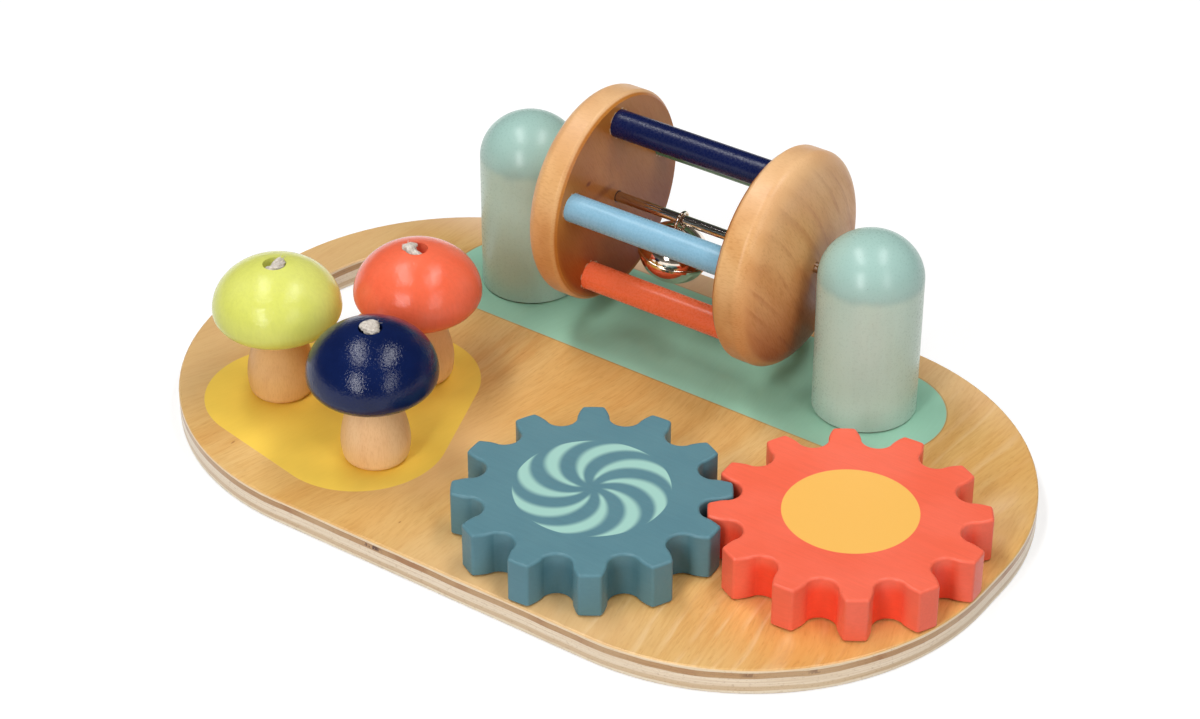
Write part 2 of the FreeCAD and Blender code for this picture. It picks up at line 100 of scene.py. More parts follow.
# ---------------------------------------------------------------------------
# Finishes: small helpers that add and join shader nodes
# ---------------------------------------------------------------------------
class Nodes:
    """Adds nodes to one tree. An input is either a socket to join or a value to set."""

    def __init__(self, tree):
        self.tree = tree

    def join(self, value, socket):
        if isinstance(value, bpy.types.NodeSocket):
            self.tree.links.new(value, socket)
        else:
            socket.default_value = value

    def node(self, kind, inputs, **settings):
        made = self.tree.nodes.new("ShaderNode" + kind)
        for key, value in settings.items():
            setattr(made, key, value)
        for key, value in inputs.items():
            self.join(value, made.inputs[key])
        return made

    def math(self, operation, *values):
        return self.node("Math", dict(enumerate(values)), operation=operation).outputs[0]

    def add(self, *values):
        total = values[0]
        for value in values[1:]:
            total = self.math("ADD", total, value)
        return total

    def times(self, *values):
        total = values[0]
        for value in values[1:]:
            total = self.math("MULTIPLY", total, value)
        return total

    def minus(self, first, second):
        return self.math("SUBTRACT", first, second)

    def vector(self, operation, *values, scale=None):
        inputs = dict(enumerate(values))
        if scale is not None:
            inputs["Scale"] = scale
        made = self.node("VectorMath", inputs, operation=operation)
        return made.outputs["Value"] if operation in ("LENGTH", "DOT_PRODUCT") else made.outputs["Vector"]

    def point(self, x, y, z=0.0):
        return self.node("CombineXYZ", {"X": x, "Y": y, "Z": z}).outputs["Vector"]

    def axes(self, vector):
        """The x, y and z of a place."""
        made = self.node("SeparateXYZ", {"Vector": vector})
        return made.outputs["X"], made.outputs["Y"], made.outputs["Z"]

    def ease(self, value, low, high, start=0.0, end=1.0):
        """Softly from start, where a value is low, to end, where it is high, and level beyond."""
        inputs = {"Value": value, "From Min": low, "From Max": high, "To Min": start, "To Max": end}
        return self.node("MapRange", inputs, interpolation_type="SMOOTHSTEP").outputs["Result"]

    def fade(self, value, low, high):
        """1 up to low, then softly down to 0 at high."""
        return self.ease(value, low, high, 1.0, 0.0)


class Finish(Nodes):
    """A Principled material whose patterns read Object coordinates, in millimetres."""

    def __init__(self, name, **shader):
        self.material = bpy.data.materials.new(name)
        self.material.use_nodes = True
        super().__init__(self.material.node_tree)
        self.shader = self.tree.nodes["Principled BSDF"]
        self.set(**shader)
        place = self.node("TexCoord", {}).outputs["Object"]
        self.place = self.vector("SCALE", place, scale=1 / MM)
        self.x, self.y, self.z = self.axes(self.place)

    def set(self, **shader):
        """Set or join the shader's sockets by name, with _ for a space."""
        for key, value in shader.items():
            self.join(value, self.shader.inputs[key.replace("_", " ")])

    def show(self, colour):
        """Make a colour, or a pattern of colours, the surface's own."""
        self.colour = colour
        self.set(Base_Color=colour)

    def cells(self, size, turn=(0, 0, 0), centre=(0, 0, 0), vector=None):
        """The place counted in cells of a size in mm, along turned axes through a centre."""
        inputs = {"Vector": vector or self.place, "Location": centre,
                  "Rotation": [math.radians(angle) for angle in turn], "Scale": size}
        return self.node("Mapping", inputs, vector_type="TEXTURE").outputs["Vector"]

    def noise(self, vector, detail=2.0, roughness=0.5, distortion=0.0):
        inputs = {"Vector": vector, "Scale": 1.0, "Detail": detail,
                  "Roughness": roughness, "Distortion": distortion}
        return self.node("TexNoise", inputs).outputs["Fac"]

    def band(self, value, low, high, soft):
        """1 where a value is between low and high, 0 elsewhere, with soft ends."""
        rise = self.ease(value, low - soft / 2, low + soft / 2)
        fall = self.ease(value, high - soft / 2, high + soft / 2)
        return self.minus(rise, fall)

    def within(self, distance, limit):
        """1 up to a limit and 0 past it, with the crisp edge of a print."""
        return self.fade(distance, limit - PRINT_EDGE, limit + PRINT_EDGE)

    def spot(self, centre, reach, soft):
        """1 near a centre and 0 beyond its reach; both are three lengths in mm."""
        away = self.vector("LENGTH", self.cells(reach, centre=centre))
        return self.fade(away, 1.0 - soft, 1.0)

    def ramp(self, value, stops):
        """Colours along a value, from a list of (place, colour)."""
        made = self.node("ValToRGB", {"Fac": value})
        line = made.color_ramp
        while len(line.elements) < len(stops):
            line.elements.new(1.0)
        for element, (place, colour) in zip(line.elements, stops):
            element.position = place
            element.color = colour
        return made.outputs["Color"]

    def mix(self, amount, first, second, blend="MIX"):
        """The first colour where amount is 0, the second where it is 1."""
        made = self.node("Mix", {}, data_type="RGBA", blend_type=blend)
        self.join(amount, made.inputs["Factor"])
        self.join(first, made.inputs[6])
        self.join(second, made.inputs[7])
        return made.outputs[2]

    def stain(self, amount, colour, shade):
        """Darken a colour by a shade where amount is 1."""
        return self.mix(amount, colour, shade, "MULTIPLY")

    def stain_lows(self, amount, colour, pattern, low, high, shade):
        """Darken a colour by a shade where a pattern is below low, and not at all above high."""
        return self.stain(amount, colour, self.ramp(pattern, [(low, shade), (high, WHITE)]))

    def relief(self, *layers):
        """Stack bumps from (height, strength, distance in mm) and join them to the shader."""
        normal = None
        for height, strength, distance in layers:
            inputs = {"Height": height, "Strength": strength, "Distance": distance * MM}
            if normal is not None:
                inputs["Normal"] = normal
            normal = self.node("Bump", inputs).outputs["Normal"]
        self.set(Normal=normal)


def dress(finish, *names):
    """Give a finish to CAD nodes or pieces, by name or as objects."""
    for name in names:
        piece = nodes[name] if isinstance(name, str) else name
        piece.data.materials.clear()
        piece.data.materials.append(finish.material)


# ---------------------------------------------------------------------------
# Plywood with printed patches
# ---------------------------------------------------------------------------
HONEY = srgb(229, 184, 114)
HONEY_DEEP = srgb(225, 175, 102)
HONEY_PALE = srgb(235, 196, 132)
MINT_PRINT = srgb(162, 214, 188)
YELLOW_PRINT = srgb(253, 213, 86)

# Mint patch: a long stadium under the posts, measured from the middles of its round ends
MINT_CENTRE = (-0.5, 56.8, 0)
MINT_HALF_LENGTH = 71.1
MINT_HALF_WIDTH = 26.4
MINT_SLANT = 0.65

# Yellow patch: three blended round lobes, one under each mushroom, as x, y and radius
YELLOW_LOBES = [(-94.5, -47.1, 28.1), (-70.1, -20.2, 29.3), (-58.4, -53.4, 29.1)]

# Cells of the face's grain: across the grain, along it and in depth
SWAY_CELL = (70, 110, 70)
BAND_CELL = (30, 190, 30)
STREAK_CELL = (5.5, 75, 20)
FIBRE_CELL = (0.8, 9, 8)
PORE_CELL = (0.45, 3.2, 2)
FLAME_LINE_CELL = (2.6, 22, 20)
RIPPLE_CELL = (16, 70, 16)
RIB_BREAK_CELL = (7, 26, 10)
CURL_CELL = (13, 30, 13)
RIB_SPACING = 6.0

# Areas of the face with a tone or a figure of their own; two of them, beside the gears, are painted light
# and shade
FLAME = {"centre": (-49, 16, BOARD_TOP), "reach": (15, 34, 20), "soft": 0.9}
PAINTED_GEAR_GLOW = {"centre": (112, -62, BOARD_TOP), "reach": (52, 34, 30), "soft": 0.9}
PAINTED_LIGHT_BESIDE_GEAR = {"centre": (-30, -45, BOARD_TOP), "reach": (26, 40, 30), "soft": 0.9}
RIBBED_FRONT = {"centre": (86, -76, BOARD_TOP), "reach": (62, 44, 20), "soft": 0.6}
RIBBED_BACK = {"centre": (108, 66, BOARD_TOP), "reach": (34, 44, 20), "soft": 0.6}
CURLED_END = {"centre": (135, 22, BOARD_TOP), "reach": (13, 32, 20), "soft": 0.8}
SMALL_FLECKS = [
    {"centre": (-91.7, -79.0, BOARD_TOP), "reach": (0.5, 1.4, 3), "soft": 0.8},
    {"centre": (-4.9, -69.6, BOARD_TOP), "reach": (0.4, 1.6, 3), "soft": 0.8},
    {"centre": (-20.0, -82.0, BOARD_TOP), "reach": (0.4, 0.9, 3), "soft": 0.8},
]

# Colours of the stacked plies, by share of the board's height; the lowest two stops are greyer, partly the
# bottom veneer and partly painted shade where the edge rounds under
PLY_COLOURS = [
    (0.000, srgb(214, 200, 180)), (0.045, srgb(230, 214, 190)), (0.058, srgb(253, 238, 214)),
    (0.152, srgb(251, 235, 209)), (0.170, srgb(222, 192, 154)), (0.322, srgb(226, 198, 161)),
    (0.342, srgb(248, 228, 202)), (0.480, srgb(253, 235, 210)), (0.495, srgb(238, 215, 186)),
    (0.515, srgb(251, 231, 205)), (0.644, srgb(252, 233, 208)), (0.658, srgb(196, 152, 103)),
    (0.874, srgb(192, 147, 98)), (0.890, srgb(247, 229, 201)), (1.000, srgb(248, 224, 188)),
]

# Dark end-grain marks on the edge
END_GRAIN_MARKS = [(108.5, -77.9, 7.5), (123.4, -65.3, 7.6), (-21.0, -95.0, 7.4)]


def face_veneer(f):
    """Rotary-cut face: honey bands, fine fibres that fan a little, dark and pale streaks."""
    lean = f.ease(f.x, -50, 100, start=0.19, end=-0.13)
    sway = f.ease(f.noise(f.cells(SWAY_CELL), detail=1.0), 0.2, 0.8, start=-7, end=7)
    across = f.add(f.x, f.times(f.y, lean, -1.0), sway)
    grain = f.point(across, f.y, f.z)
    bands = f.noise(f.cells(BAND_CELL, vector=grain))
    streaks = f.noise(f.cells(STREAK_CELL, vector=grain), distortion=0.2)
    fibres = f.noise(f.cells(FIBRE_CELL, vector=grain), detail=3.0, roughness=0.55)
    pores = f.noise(f.cells(PORE_CELL, vector=grain), detail=1.0)
    colour = f.ramp(bands, [(0.28, HONEY_DEEP), (0.48, HONEY), (0.72, HONEY_PALE)])
    streak_tones = [(0.30, srgb(243, 222, 194)), (0.50, srgb(252, 246, 237)), (0.66, WHITE)]
    colour = f.stain(0.55, colour, f.ramp(streaks, streak_tones))
    colour = f.stain_lows(0.5, colour, fibres, 0.34, 0.56, srgb(238, 221, 196))
    colour = f.stain_lows(0.35, colour, pores, 0.26, 0.40, srgb(224, 200, 168))

    # a darker flame left of the middle, with its own close lines
    lines = f.noise(f.cells(FLAME_LINE_CELL, vector=grain))
    flame = f.times(f.spot(**FLAME), f.ease(lines, 0.42, 0.62), 0.4)
    colour = f.stain(flame, colour, srgb(242, 200, 140))

    # wide areas that are warmer or paler than the rest; the first two are painted light and shade beside
    # the gears
    # painted light and shade: the board round the coral gear's front made darker and more orange, as the
    # gear's bounced light would
    colour = f.stain(f.times(f.spot(**PAINTED_GEAR_GLOW), 0.85), colour, srgb(250, 224, 190))
    # painted light: a paler patch that lifts the shade left of the front gear
    colour = f.mix(f.times(f.spot(**PAINTED_LIGHT_BESIDE_GEAR), 0.6), colour, srgb(246, 204, 142))
    front = f.times(f.fade(f.y, -90, -66), f.ease(f.x, -30, 15), f.fade(f.x, 60, 90))
    colour = f.mix(f.times(front, 0.6), colour, srgb(228, 187, 134))
    left = f.fade(f.x, -132, -104)
    colour = f.mix(f.times(left, 0.5), colour, srgb(231, 196, 146))
    back = f.times(f.ease(f.y, 58, 90), f.ease(f.x, -60, 40, start=1.0, end=0.3))
    colour = f.mix(f.times(back, 0.85), colour, srgb(247, 213, 182))

    # pale wavy lines at the front right and back right, and a pale figure between them
    ripple = f.ease(f.noise(f.cells(RIPPLE_CELL), detail=1.0), 0.2, 0.8, start=-0.5, end=0.5)
    ribs = f.math("FRACT", f.add(f.times(across, 1 / RIB_SPACING), ripple))
    rib = f.times(f.ease(ribs, 0.55, 0.88), f.fade(ribs, 0.88, 1.0))
    ribbed = f.math("MAXIMUM", f.spot(**RIBBED_FRONT), f.times(f.spot(**RIBBED_BACK), 0.8))
    broken = f.ease(f.noise(f.cells(RIB_BREAK_CELL, centre=(3, 8, 0))), 0.36, 0.6)
    colour = f.mix(f.times(rib, ribbed, broken, 0.36), colour, srgb(246, 214, 166))
    curls = f.noise(f.cells(CURL_CELL, centre=(1, 5, 0)), detail=1.0, distortion=0.6)
    curl = f.band(curls, 0.46, 0.58, soft=0.14)
    figure = f.times(f.spot(**CURLED_END), f.add(f.times(curl, 0.24), 0.16))
    colour = f.mix(figure, colour, srgb(246, 218, 180))

    for fleck in SMALL_FLECKS:
        colour = f.stain(f.times(f.spot(**fleck), 0.7), colour, srgb(176, 122, 78))
    return colour, streaks, fibres


def edge_plies(f):
    """The stacked plies round the edge, with clean but slightly wandering seams."""
    wander = f.ease(f.noise(f.cells((26, 26, 400))), 0.2, 0.8, start=-0.28, end=0.28)
    height = f.times(f.add(f.z, wander), 1 / BOARD_TOP)
    plies = f.ramp(height, PLY_COLOURS)
    browner = f.ease(f.noise(f.cells((17, 17, 400), centre=(2, 7, 0))), 0.50, 0.66)
    cross_ply = f.band(height, 0.66, 0.88, soft=0.02)
    plies = f.stain(f.times(cross_ply, browner, 0.7), plies, srgb(222, 190, 156))
    lines = f.noise(f.cells((34, 34, 0.34)), detail=3.0, roughness=0.6)
    plies = f.stain_lows(0.55, plies, lines, 0.34, 0.50, srgb(226, 210, 188))
    pits = f.noise(f.cells((1.1, 1.1, 0.55)), roughness=0.6)
    plies = f.stain_lows(0.4, plies, pits, 0.30, 0.44, srgb(200, 180, 156))
    tint = f.noise(f.cells((44, 44, 400), centre=(9, 4, 0)), detail=1.0)
    plies = f.mix(f.times(f.ease(tint, 0.42, 0.7), 0.3), plies, srgb(236, 212, 176))

    # the end-grain marks lie in the dark cross ply
    dark_ply = f.band(f.z, 6.7, 8.2, soft=0.4)
    dashes = f.ease(f.noise(f.cells((0.9, 0.9, 2.2)), detail=1.0), 0.42, 0.47)
    for centre in END_GRAIN_MARKS:
        near = f.times(f.spot(centre, reach=(4.5, 4.5, 3), soft=0.7), dashes, dark_ply)
        plies = f.stain(near, plies, srgb(118, 80, 54))
    return plies, lines


def plywood():
    """Lacquered board: veneer on both faces, plies round the edge, and two patches printed on top."""
    f = Finish("lacquered plywood", Coat_Weight=0.2, Coat_Roughness=0.18)
    face, streaks, fibres = face_veneer(f)
    edge, lines = edge_plies(f)
    upper_face = f.ease(f.z, BOARD_TOP - 0.5, BOARD_TOP - 0.2)
    lower_face = f.fade(f.z, 0.15, 0.35)
    rim = f.band(f.z, BOARD_TOP - 0.75, BOARD_TOP - 0.2, soft=0.3)
    edge = f.mix(f.times(rim, 0.6), edge, srgb(248, 214, 168))
    colour = f.mix(f.math("MAXIMUM", upper_face, lower_face), edge, face)

    along, across = f.axes(f.cells((1, 1, 1), turn=(0, 0, -MINT_SLANT), centre=MINT_CENTRE))[:2]
    past_end = f.math("MAXIMUM", f.minus(f.math("ABSOLUTE", along), MINT_HALF_LENGTH), 0.0)
    mint_gap = f.minus(f.vector("LENGTH", f.point(past_end, across)), MINT_HALF_WIDTH)
    on_top = f.ease(f.z, BOARD_TOP - 0.2, BOARD_TOP - 0.05)
    mint = f.times(f.within(mint_gap, 0.0), on_top)
    yellow = f.times(soft_triangle(f, YELLOW_LOBES), on_top)
    outline = f.times(f.band(mint_gap, 0.0, 0.5, soft=0.3), on_top, 0.4)

    clouds = f.noise(f.cells((14, 26, 14)), detail=3.0, roughness=0.6)
    grain = f.ramp(fibres, [(0.32, srgb(240, 238, 232)), (0.58, WHITE)])
    haze = f.ramp(clouds, [(0.3, srgb(246, 246, 244)), (0.6, WHITE)])
    mint_ink = f.stain(0.6, f.stain(0.15, MINT_PRINT, grain), haze)
    yellow_ink = f.stain(0.6, f.stain(0.12, YELLOW_PRINT, grain), haze)
    colour = f.stain(outline, colour, srgb(160, 140, 110))
    colour = f.mix(mint, colour, mint_ink)
    colour = f.mix(yellow, colour, yellow_ink)
    inked = f.math("MAXIMUM", mint, yellow)
    f.show(colour)
    f.set(Roughness=f.add(f.ease(fibres, 0.3, 0.7, start=0.40, end=0.30), f.times(inked, 0.06)))
    f.relief((inked, 0.5, 0.03), (streaks, 0.06, 0.25), (fibres, 0.10, 0.05), (lines, 0.10, 0.05))
    return f


def soft_triangle(f, lobes):
    """Inside of the tight loop drawn round three circles: 1 inside, 0 outside."""
    ground = f.point(f.x, f.y)
    order = sort_round(lobes)
    inside = None
    for centre_x, centre_y, radius in order:
        away = f.vector("LENGTH", f.vector("SUBTRACT", ground, (centre_x, centre_y, 0)))
        near = f.within(away, radius)
        inside = near if inside is None else f.math("MAXIMUM", inside, near)
    # between the circles lies the six-sided area bounded by common tangents and touch chords
    area = None
    for index, (start, end) in enumerate(zip(order, order[1:] + order[:1])):
        for normal, offset in (outer_tangent(start, end), touch_chord(order, index)):
            side = f.within(f.vector("DOT_PRODUCT", ground, (normal.x, normal.y, 0)), offset)
            area = side if area is None else f.math("MINIMUM", area, side)
    return f.math("MAXIMUM", inside, area)


def sort_round(lobes):
    """The circles in anticlockwise order about their middle."""
    middle_x = sum(lobe[0] for lobe in lobes) / len(lobes)
    middle_y = sum(lobe[1] for lobe in lobes) / len(lobes)
    return sorted(lobes, key=lambda lobe: math.atan2(lobe[1] - middle_y, lobe[0] - middle_x))


def outer_tangent(start, end):
    """Outward normal and offset of the line that touches two circles from outside."""
    a, b = Vector(start[:2]), Vector(end[:2])
    along = b - a
    tilt = math.asin((start[2] - end[2]) / along.length)
    angle = math.atan2(along.y, along.x) - math.pi / 2 + tilt
    normal = Vector((math.cos(angle), math.sin(angle)))
    return normal, normal.dot(a) + start[2]


def touch_chord(order, index):
    """Line across one circle between the points where its two tangents touch it."""
    before, here, after = order[index - 1], order[index], order[(index + 1) % len(order)]
    centre = Vector(here[:2])
    first = centre + outer_tangent(before, here)[0] * here[2]
    second = centre + outer_tangent(here, after)[0] * here[2]
    along = (second - first).normalized()
    normal = Vector((along.y, -along.x))
    return normal, normal.dot(first)


# ---------------------------------------------------------------------------
# Turned beech
# ---------------------------------------------------------------------------
UPRIGHT = (0, 0, 1)


def facing(direction, axis):
    """Angles in degrees that turn a pattern's own axis on to a direction."""
    up = "Y" if axis == "Z" else "Z"
    return [math.degrees(angle) for angle in Vector(direction).to_track_quat(axis, up).to_euler()]


def beech(name, light, dark, fibre, across, spacing, late, centre, coat=0.3, flecked=0.5, shown=None):
    """Beech under satin lacquer: fibres along one direction, growth rings stacked across it.

    late is how much the late wood of each ring darkens, and flecked how much the fibres do. shown
    gives, from the finish, 1 where rings and fibres show and 0 where they fade."""
    f = Finish(name, Coat_Weight=coat, Coat_Roughness=0.2, Specular_IOR_Level=0.25)
    clear = shown(f) if shown else 1.0
    along = facing(fibre, "Z")
    warp = f.noise(f.cells((40, 40, 90), turn=along, centre=centre), detail=1.0)
    u, v, w = f.axes(f.cells((spacing, 60, 60), turn=facing(across, "X"), centre=centre))
    bowed = f.times(f.add(f.times(v, v), f.times(w, w)), 1.5)
    rings = f.add(u, bowed, f.ease(warp, 0.2, 0.8, start=-1.2, end=1.2))
    phase = f.math("FRACT", rings)
    ring_tone = f.ease(f.noise(f.point(rings, 0.0, 0.0), detail=1.0), 0.3, 0.65, start=0.15, end=1.0)
    late_wood = f.times(f.ease(phase, 0.55, 0.93), f.fade(phase, 0.93, 1.0), ring_tone, clear)
    breaks = f.noise(f.cells((8, 8, 20), turn=along, centre=centre), detail=1.0)
    broken = f.ease(breaks, 0.34, 0.6, start=0.2, end=1.0)
    clouds = f.noise(f.cells((13, 13, 34), turn=along, centre=centre))
    flecks = f.noise(f.cells((0.5, 0.5, 5.0), turn=along, centre=centre), roughness=0.55)
    dashes = f.noise(f.cells((0.35, 0.35, 1.6), turn=along, centre=centre), detail=1.0)
    colour = f.mix(f.ease(clouds, 0.3, 0.7), dark, light)
    colour = f.mix(f.times(late_wood, broken, late), colour, srgb(186, 104, 46))
    colour = f.stain_lows(f.times(clear, flecked), colour, flecks, 0.34, 0.52, srgb(232, 216, 196))
    colour = f.stain_lows(f.times(clear, flecked * 0.6), colour, dashes, 0.30, 0.42, srgb(210, 180, 148))
    f.show(colour)
    f.set(Roughness=f.ease(flecks, 0.3, 0.7, start=0.44, end=0.34))
    f.relief((flecks, 0.10, 0.08), (dashes, 0.08, 0.04))
    return f


# Paint of the dowels, as screen values
DOWEL_COLOURS = {
    "light_blue": (144, 192, 217),
    "navy": (13, 25, 72),
    "green": (100, 148, 112),
    "yellow": (240, 200, 84),
    "coral": (255, 116, 72),
}


def barrel_disc(name, inner_face, light, dark, late, marks):
    """One end disc: growth lines on its face, dashes round its rim, painted shade low down and on the inner
    face, a painted highlight high up, a painted shadow ring round the rod's hole, and chipped dowel holes.
    """
    def axle_distance(f):
        return f.vector("LENGTH", f.point(f.minus(f.y, BARREL_AXLE.y), f.minus(f.z, BARREL_AXLE.z)))

    def off_rim(f):
        return f.fade(axle_distance(f), DISC_RADIUS - 6.6, DISC_RADIUS - 1.1)

    f = beech(name, light, dark, fibre=(0, 0.50, -0.86), across=(0.25, 0.83, 0.48), spacing=5.6,
              late=late, centre=(inner_face, 40, 30), coat=0.12, flecked=0.4, shown=off_rim)
    from_axle = axle_distance(f)
    above_axle = f.minus(f.z, BARREL_AXLE.z)
    rim = f.ease(from_axle, DISC_RADIUS - 4.1, DISC_RADIUS - 1.1)
    strokes = f.noise(f.cells((1.8, 0.5, 0.5)))
    colour = f.stain_lows(f.times(rim, 0.3), f.colour, strokes, 0.36, 0.52, srgb(226, 198, 164))

    # painted shade, deeper and more orange towards the bottom and most on the flat faces, as the board's
    # bounce light would make it; and a painted highlight, paler at the top but for the inner face
    low = f.times(f.fade(above_axle, -36, 16), f.ease(rim, 0.0, 1.0, start=1.0, end=0.35))
    colour = f.stain(f.times(low, 0.95), colour, srgb(190, 112, 48))
    inside = f.fade(f.math("ABSOLUTE", f.minus(f.x, inner_face)), 0.5, 1.0)
    # painted highlight: a pale sheen on the upper part of the rim and outer face
    high = f.times(f.ease(above_axle, 18, 36), f.minus(1.0, inside), 0.35)
    colour = f.mix(high, colour, srgb(248, 208, 166))

    # the inner face darkened as painted shade, with a painted shadow ring round the rod, small marks, and
    # the chipped edges of the dowels' holes
    colour = f.stain(inside, colour, srgb(216, 179, 118))
    # painted shadow: a dark ring round the rod where its running gap would lie in shade
    rod_hole_shadow = f.times(f.fade(from_axle, 2.0, 2.4), inside)
    colour = f.mix(f.times(rod_hole_shadow, 0.9), colour, srgb(58, 26, 14))
    for centre, reach, strength in marks:
        mark = f.times(f.spot(centre, reach, soft=0.9), strength)
        colour = f.stain(mark, colour, srgb(150, 88, 40))
    chips = f.ease(f.noise(f.cells((1.6, 1.6, 1.6)), detail=1.0), 0.55, 0.6)
    for dowel in DOWEL_COLOURS:
        centre = middle("barrel_dowel_" + dowel)
        centre.x = inner_face
        away = f.vector("LENGTH", f.vector("SUBTRACT", f.place, centre))
        hole_edge = f.band(away, DOWEL_RADIUS, DOWEL_RADIUS + 0.6, soft=0.3)
        colour = f.mix(f.times(hole_edge, chips, inside, 0.6), colour, srgb(240, 214, 180))
    f.show(colour)
    return f


# ---------------------------------------------------------------------------
# Paint, steel and cord
# ---------------------------------------------------------------------------
def paint(name, colour, deep, roughness, specular, peel, grain, traced, sparkle, spread=0.06):
    """Sprayed paint: slight clouds, orange peel, and a trace of the wood's grain under it.

    peel and sparkle are the depths of the coarse and the fine bumps, grain the wood's cell in mm,
    traced how far it shows, and spread how far the roughness varies."""
    f = Finish(name, Specular_IOR_Level=specular)
    clouds = f.noise(f.cells((20, 20, 20)), detail=3.0, roughness=0.55)
    ripple = f.noise(f.cells((1.9, 1.9, 1.9)), roughness=0.55)
    fine = f.noise(f.cells((0.75, 0.75, 0.75)), roughness=0.65)
    wood = f.noise(f.cells(grain), detail=3.0, roughness=0.6)
    body = f.mix(f.ease(clouds, 0.3, 0.7), deep, colour)
    f.show(f.stain_lows(traced, body, wood, 0.3, 0.6, srgb(240, 240, 240)))
    f.set(Roughness=f.ease(fine, 0.3, 0.7, roughness - spread, roughness + spread))
    f.relief((wood, peel * traced, 0.12), (ripple, peel, 0.12), (fine, sparkle, 0.15))
    return f


def steel(name, colour, roughness, along=(1, 1, 1), scratch=0.05):
    """Plated steel with a few faint drawing lines."""
    f = Finish(name, Metallic=1.0)
    lines = f.noise(f.cells(along), detail=3.0, roughness=0.6)
    darker = srgb(*[channel * 0.92 for channel in colour])
    f.show(f.mix(f.ease(lines, 0.3, 0.7), darker, srgb(*colour)))
    f.set(Roughness=f.ease(lines, 0.3, 0.7, roughness * 0.7, roughness * 1.3))
    if scratch:
        f.relief((lines, scratch, 0.01))
    return f


def post_finish():
    """Posts dipped twice: mint body, clearer mint dome, a few dust specks and a painted contact shadow at
    the foot.
    """
    f = paint("mint post paint", srgb(195, 223, 210), srgb(190, 218, 204), roughness=0.28, specular=0.4,
              peel=0.1, grain=(1.8, 1.8, 22), traced=0.2, sparkle=0.0, spread=0.01)
    seam = f.ease(f.noise(f.cells((9, 9, 9)), detail=1.0), 0.3, 0.7, start=-0.5, end=0.5)
    dome = f.ease(f.add(f.z, seam), POST_DOME_FOOT - 1.6, POST_DOME_FOOT + 2.2)
    dust = f.ease(f.noise(f.cells((0.5, 0.5, 0.7)), detail=1.0), 0.79, 0.82)
    # painted shadow: a dark line where the post meets the board
    foot = f.fade(f.z, BOARD_TOP + 0.1, BOARD_TOP + 0.6)
    colour = f.mix(dome, f.colour, srgb(166, 201, 192))
    colour = f.stain(f.times(dust, 0.5), colour, srgb(120, 130, 118))
    f.show(f.stain(foot, colour, srgb(150, 104, 76)))
    return f


def gear_paint(name, colour, deep, roughness):
    """Matt gear paint over a grain that runs along the board."""
    return paint(name, colour, deep, roughness, specular=0.3, peel=0.2, grain=(12, 0.9, 0.9), traced=0.4,
                 sparkle=0.15)


def print_gear(f, radius, painted_valley_shade, printed, ink):
    """Paint shade, in a deeper colour, on the walls between a gear's teeth, and print ink on its top face.
    """
    off_tips = f.fade(radius, GEAR_RADIUS - 8.5, GEAR_RADIUS - 2.5)
    below_top = f.fade(f.z, GEAR_TOP - 6.0, GEAR_TOP - 0.5)
    on_top = f.ease(f.z, GEAR_TOP - 0.25, GEAR_TOP - 0.1)
    body = f.stain(f.times(off_tips, below_top), f.colour, painted_valley_shade)
    f.show(f.mix(f.times(printed, on_top), body, ink))


def swirl_finish():
    """Teal gear with a pale eight-bladed pinwheel printed on its top."""
    blades, reach, pitch_radius, lead = 8, 25.2, 25.7, 33.3
    step = 360.0 / blades
    f = gear_paint("teal gear paint", srgb(96, 139, 150), srgb(92, 135, 147), 0.42)
    u, v = f.axes(f.cells((1, 1, 1), centre=(FRONT_GEAR.x, FRONT_GEAR.y, 0)))[:2]
    radius = f.vector("LENGTH", f.point(u, v))
    bearing = f.math("DEGREES", f.math("ARCTAN2", v, u))
    sweep = f.math("DEGREES", f.math("ARCSINE", f.times(radius, 1 / pitch_radius)))
    turned = f.times(f.add(bearing, sweep, 360.0 - lead), 1 / step)
    offset = f.minus(f.math("FRACT", f.add(turned, 0.5)), 0.5)
    from_blade = f.times(f.math("ABSOLUTE", offset), step)
    half_width = f.ease(radius, 3, 24, start=6.0, end=11.5)
    blade = f.fade(f.minus(from_blade, half_width), -6.0, 5.0)
    ends = f.times(f.ease(radius, 2.6, 6.5), f.fade(radius, reach - 0.25, reach))
    # the first colour passed here is painted shade between the teeth
    print_gear(f, radius, srgb(205, 218, 222), f.times(blade, ends), srgb(166, 211, 200))
    return f


def sun_finish():
    """Coral gear with a plain orange disc printed on its top."""
    disc_radius = 21.6
    f = gear_paint("coral gear paint", srgb(251, 114, 88), srgb(248, 107, 79), 0.38)
    u, v = f.axes(f.cells((1, 1, 1), centre=(END_GEAR.x, END_GEAR.y, 0)))[:2]
    radius = f.vector("LENGTH", f.point(u, v))
    # the first colour passed here is painted shade between the teeth
    print_gear(f, radius, srgb(255, 190, 166), f.within(radius, disc_radius), srgb(250, 192, 96))
    return f


def cord_finish():
    """Off-white cotton: fine twisted fibres and a dusty, uneven white."""
    f = Finish("cotton cord", Roughness=0.85, Sheen_Weight=0.3, Sheen_Roughness=0.5)
    yarn = f.noise(f.cells((0.18, 0.18, 0.7), turn=(35, 20, 0)), roughness=0.6)
    dust = f.noise(f.cells((1.2, 1.2, 1.2)))
    colour = f.mix(f.ease(dust, 0.3, 0.7), srgb(206, 196, 184), srgb(238, 230, 220))
    f.show(f.stain_lows(0.8, colour, yarn, 0.3, 0.55, srgb(196, 186, 176)))
    f.relief((yarn, 0.8, 0.15))
    return f


